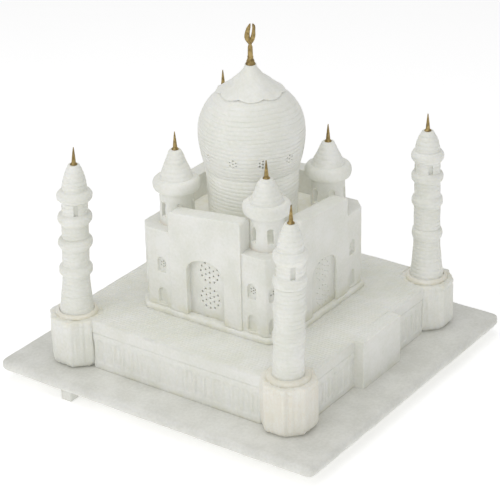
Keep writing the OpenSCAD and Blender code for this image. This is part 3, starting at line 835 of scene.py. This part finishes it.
# ---- Kiosks ----
# Four hollow drums stand on the roof's corners, each with six slots, under a bulging eave
# and a steep little dome cut from one block.
kiosk_stone = stone("kiosk_stone", alabaster_pale, alabaster_deep, stain=glue_pink, level=roof_z,
                    reach=4 * mm, amount=0.35, strokes=0.22)
# The inside faces take a second stone with a strong painted glow (inner), which lightens the shade in the
# hollow seen through the slots.
kiosk_inside_painted_glow = stone("kiosk_inside_painted_glow", alabaster_pale, alabaster_deep, strokes=0.1, inner=0.2)
kiosk_r, kiosk_wall, kiosk_floor = 14.2 * mm, 4.5 * mm, 4 * mm
kiosk_course, kiosk_taper, kiosk_skin = 3.4 * mm, 0.6 * mm, 1.4 * mm
kiosk_slots, kiosk_slot_z = 6, 7 * mm
kiosk_slot_w, kiosk_slot_h, kiosk_slot_deep = 5 * mm, 13 * mm, 6 * mm
for number, corner in enumerate(corners):
    low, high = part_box("kiosk_" + corner)
    place = (low + high) / 2
    tall = high.z - low.z
    steps = round(tall / (0.8 * mm))
    outline = [(0, 0), (kiosk_r, 0)]
    outline += [(kiosk_r - kiosk_taper * s / steps, tall * s / steps) for s in range(1, steps + 1)]
    outline += [(kiosk_r - kiosk_wall, tall), (kiosk_r - kiosk_wall, kiosk_floor), (0, kiosk_floor)]
    kiosk = turned(outline, 72)
    openings = []
    for turn in range(kiosk_slots):
        opening = arch(kiosk_slot_w, kiosk_slot_h, kiosk_slot_deep, out=3 * mm)
        placed(opening, 0, -kiosk_r, kiosk_slot_z)
        openings.append(placed(opening, turn=2 * pi * turn / kiosk_slots - pi / 4))
    kiosk = cut(kiosk, together(*openings))
    # Faces inside the hollow get the second stone, the one with the painted glow.
    for face in kiosk.faces:
        middle = face.calc_center_median()
        face.material_index = int(middle.xy.length < kiosk_r - kiosk_skin and 0 < middle.z < tall - mm)
    placed(kiosk, place.x, place.y, low.z)
    hand_worked(kiosk, 0.4 * mm, 6 * mm, number + 100)
    piece("hollow_kiosk_" + corner, kiosk, (kiosk_stone, kiosk_inside_painted_glow), "model", "alabaster",
          "kiosk_" + corner)

eave_r, eave_half, kiosk_top_r, dome_foot_r = 19 * mm, 5.5 * mm, 4.9 * mm, 13.5 * mm
kiosk_dome_stone = stone("kiosk_dome_stone", alabaster_pale, alabaster_deep, strokes=0.22)
for number, corner in enumerate(corners):
    low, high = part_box("kiosk_dome_" + corner)
    place = (low + high) / 2
    tall = high.z - low.z
    dome_foot = 2 * eave_half
    outline = [(0, 0), (kiosk_r - mm, 0)]
    for s in range(1, 15):
        angle = pi * (s / 15 - 0.5)
        radius = kiosk_r + (eave_r - kiosk_r) * cos(angle) ** 0.8
        outline.append((radius, eave_half + eave_half * sin(angle)))
    for s in range(46):
        share = s / 45
        radius = kiosk_top_r + (dome_foot_r - kiosk_top_r) * (1 - share) ** 0.95
        outline.append((radius, dome_foot + (tall - dome_foot - 0.4 * mm) * share))
    outline += [(kiosk_top_r - 0.7 * mm, tall), (0, tall)]
    shape = turned(outline, 72)
    coursed(shape, kiosk_course, 0.38 * mm, 0.8 * mm, number + 7, dome_foot, tall)
    placed(shape, place.x, place.y, low.z)
    hand_worked(shape, 0.5 * mm, 7 * mm, number + 110)
    piece("turned_kiosk_dome_" + corner, shape, kiosk_dome_stone, "model", "alabaster",
          "kiosk_dome_" + corner)
    low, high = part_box("kiosk_spire_" + corner)
    pin = spire(place.z + tall / 2, high.z)
    piece("brass_kiosk_spire_" + corner, placed(pin, place.x, place.y, place.z + tall / 2), brass,
          "model", "brass", "kiosk_spire_" + corner)


# ---- Drum and dome ----
# The drum is a turned ring. The dome on it is turned hollow, cut all over into wavy
# courses, and pierced round its foot with a row of stars.
shell, ring_h = 6 * mm, 0.4 * mm
course, course_deep = 3.3 * mm, 0.6 * mm
star_count, star_z, star_r = 11, 16 * mm, 2.9 * mm
first_star = azimuth + radians(-21.5)
dome_stone = stone("dome_stone", alabaster_pale, alabaster_deep, strokes=0.2)
# The drum's stone has a stronger painted glow (inner), which lightens its shade.
drum_stone = stone("drum_stone", alabaster_pale, alabaster_deep, level=roof_z + 2 * mm, reach=12 * mm,
                   amount=0.3, strokes=0.22, inner=0.12)
low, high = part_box("drum")
tall = high.z - low.z
foot_r, neck_r = 35.6 * mm, (high.x - low.x) / 2
steps = round(tall / ring_h)
outline = [(foot_r - shell, 0)]
outline += [(foot_r + (neck_r - foot_r) * s / steps, tall * s / steps) for s in range(steps + 1)]
outline += [(neck_r - shell, tall)]
drum = turned(outline, 150, closed=True)
coursed(drum, course, course_deep, 1.2 * mm, 3, 0.2 * mm, tall - 0.2 * mm)
hand_worked(placed(drum, centre.x, centre.y, low.z), 0.5 * mm, 12 * mm, 120)
piece("turned_drum", drum, drum_stone, "model", "alabaster", "drum")

low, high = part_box("dome")
tall = high.z - low.z
dome_r, belly_h, cap_r = (high.x - low.x) / 2, 30 * mm, 24.8 * mm
below = belly_h / sqrt(1 - (neck_r / dome_r) ** 2)
above = (tall - belly_h) / sqrt(1 - (cap_r / dome_r) ** 2)


def dome_radius(height):
    """Radius of the dome: part of one ellipse above its widest level and of another below."""
    half = above if height > belly_h else below
    return dome_r * sqrt(max(0.0, 1 - ((height - belly_h) / half) ** 2))


steps = round(tall / ring_h)
outline = [(0, tall - shell)]
inside = 12
outline += [(dome_radius(tall * s / inside) - shell, (tall - shell) * s / inside)
            for s in range(inside - 1, -1, -1)]
outline += [(dome_radius(tall * s / steps), tall * s / steps) for s in range(steps + 1)]
dome = turned(outline + [(0, tall)], 180)
coursed(dome, course, course_deep, 1.5 * mm, 5, 0.3 * mm, tall - 0.2 * mm)
stars = []
for number in range(star_count):
    drills = both(star(star_r, 6, hole_r, shell + 3 * mm), y=-dome_radius(star_z) + 1 * mm, z=star_z)
    stars += both(drills, turn=first_star + 2 * pi * number / star_count)
dome = cut(dome, together(*stars))
hand_worked(placed(dome, centre.x, centre.y, low.z), 0.6 * mm, 14 * mm, 130)
piece("turned_dome", dome, dome_stone, "model", "alabaster", "dome")


# ---- Lotus cap ----
# Eight petals droop over the top of the dome. They are cut from one block, with the
# crown's foot let into a hole at the top.
low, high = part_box("lotus_cap")
tall = high.z - low.z
lip_r, lip_z, neck_top_r = 26.4 * mm, 1.7 * mm, 4.6 * mm
petals, droop, droop_from = 8, 2.0 * mm, 10 * mm
outline = [(0, 0), (8 * mm, 0), (14 * mm, 0), (20 * mm, 0), (lip_r - 3 * mm, 0),
           (lip_r - 1 * mm, 0.5 * lip_z)]
steps = 42
for s in range(steps + 1):
    share = 1 - s / steps
    outline.append((neck_top_r + (lip_r - neck_top_r) * share ** 1.6, tall - (tall - lip_z) * share))
cap = turned(outline + [(0, tall)], 192)
for vertex in cap.verts:
    reach = vertex.co.xy.length
    spread = min(1.0, max(0.0, (reach - droop_from) / (lip_r - droop_from)))
    bearing = atan2(vertex.co.y, vertex.co.x)
    petal = abs(cos((bearing - azimuth) * petals / 2))
    vertex.co.z -= droop * spread ** 2 * petal
    grow = 1 + 0.03 * spread ** 3 * petal ** 4 - 0.04 * spread * (1 - petal) ** 2
    vertex.co.x *= grow
    vertex.co.y *= grow
hand_worked(placed(cap, centre.x, centre.y, low.z), 0.5 * mm, 6 * mm, 140)
piece("petalled_cap", cap, dome_stone, "model", "alabaster", "lotus_cap")


# ---- Crown ----
# A stepped brass foot holds a short stem. A half-open bud stands on it, filed flat on two
# sides and split at the top into two curved blades.
low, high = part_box("crown_base")
crown_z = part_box("lotus_cap")[1].z
crown_r, foot_h = (high.x - low.x) / 2, high.z - crown_z
outline = [(0, -3 * mm), (1.4 * mm, -3 * mm), (1.4 * mm, glue_gap), (crown_r, glue_gap),
           (crown_r, 1.0 * mm), (crown_r - 0.4 * mm, 1.5 * mm), (3.1 * mm, 2.0 * mm),
           (3.2 * mm, 3.0 * mm), (2.6 * mm, 3.9 * mm), (2.3 * mm, 5.0 * mm), (2.4 * mm, foot_h),
           (0, foot_h)]
foot = placed(turned(outline, 32), centre.x, centre.y, crown_z)
piece("brass_crown_foot", foot, brass, "model", "brass", "crown_base")

low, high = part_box("crown_crescent")
bud_h, bud_flat = (high.z - low.z) / mm, 0.6
stem_shape = ((0, 0), (2.1, 0), (1.9, 7.6), (1.3, 9.4), (1.3, 11), (0, 11))
stem = turned([(r * mm, z * mm) for r, z in stem_shape], 24)
# Height, offset of the middle and half width in mm, up each half of the bud
halves = (((9.8, 0.0, 1.2), (11.4, -0.7, 1.9), (13.2, -1.6, 2.2), (15.4, -2.2, 2.2), (18.0, -2.2, 2.0),
           (20.6, -1.7, 1.8), (23.0, -1.0, 1.6), (25.0, -0.3, 1.0), (bud_h, 0.3, 0.3)),
          ((9.8, 0.0, 1.2), (11.4, 0.6, 1.8), (13.2, 1.4, 2.1), (15.4, 2.2, 1.9), (18.0, 2.7, 1.6),
           (20.6, 2.9, 1.3), (23.0, 3.1, 1.25), (25.0, 2.9, 1.1), (bud_h - 0.2, 2.3, 0.5)))
bud = [stem]
for half in halves:
    outline = [(0, half[0][0] * mm)] + [(wide * mm, z * mm) for z, shift, wide in half]
    outline += [(0, half[-1][0] * mm)]
    blade = turned(outline, 24)
    for vertex in blade.verts:
        level = min(half, key=lambda entry: abs(entry[0] * mm - vertex.co.z))
        vertex.co.x += level[1] * mm
        vertex.co.y *= bud_flat
    bud.append(blade)
bud = together(*bud)
placed(bud, centre.x, centre.y, crown_z + foot_h, azimuth)
piece("brass_crown_bud", bud, brass, "model", "brass", "crown_crescent")

low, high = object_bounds()
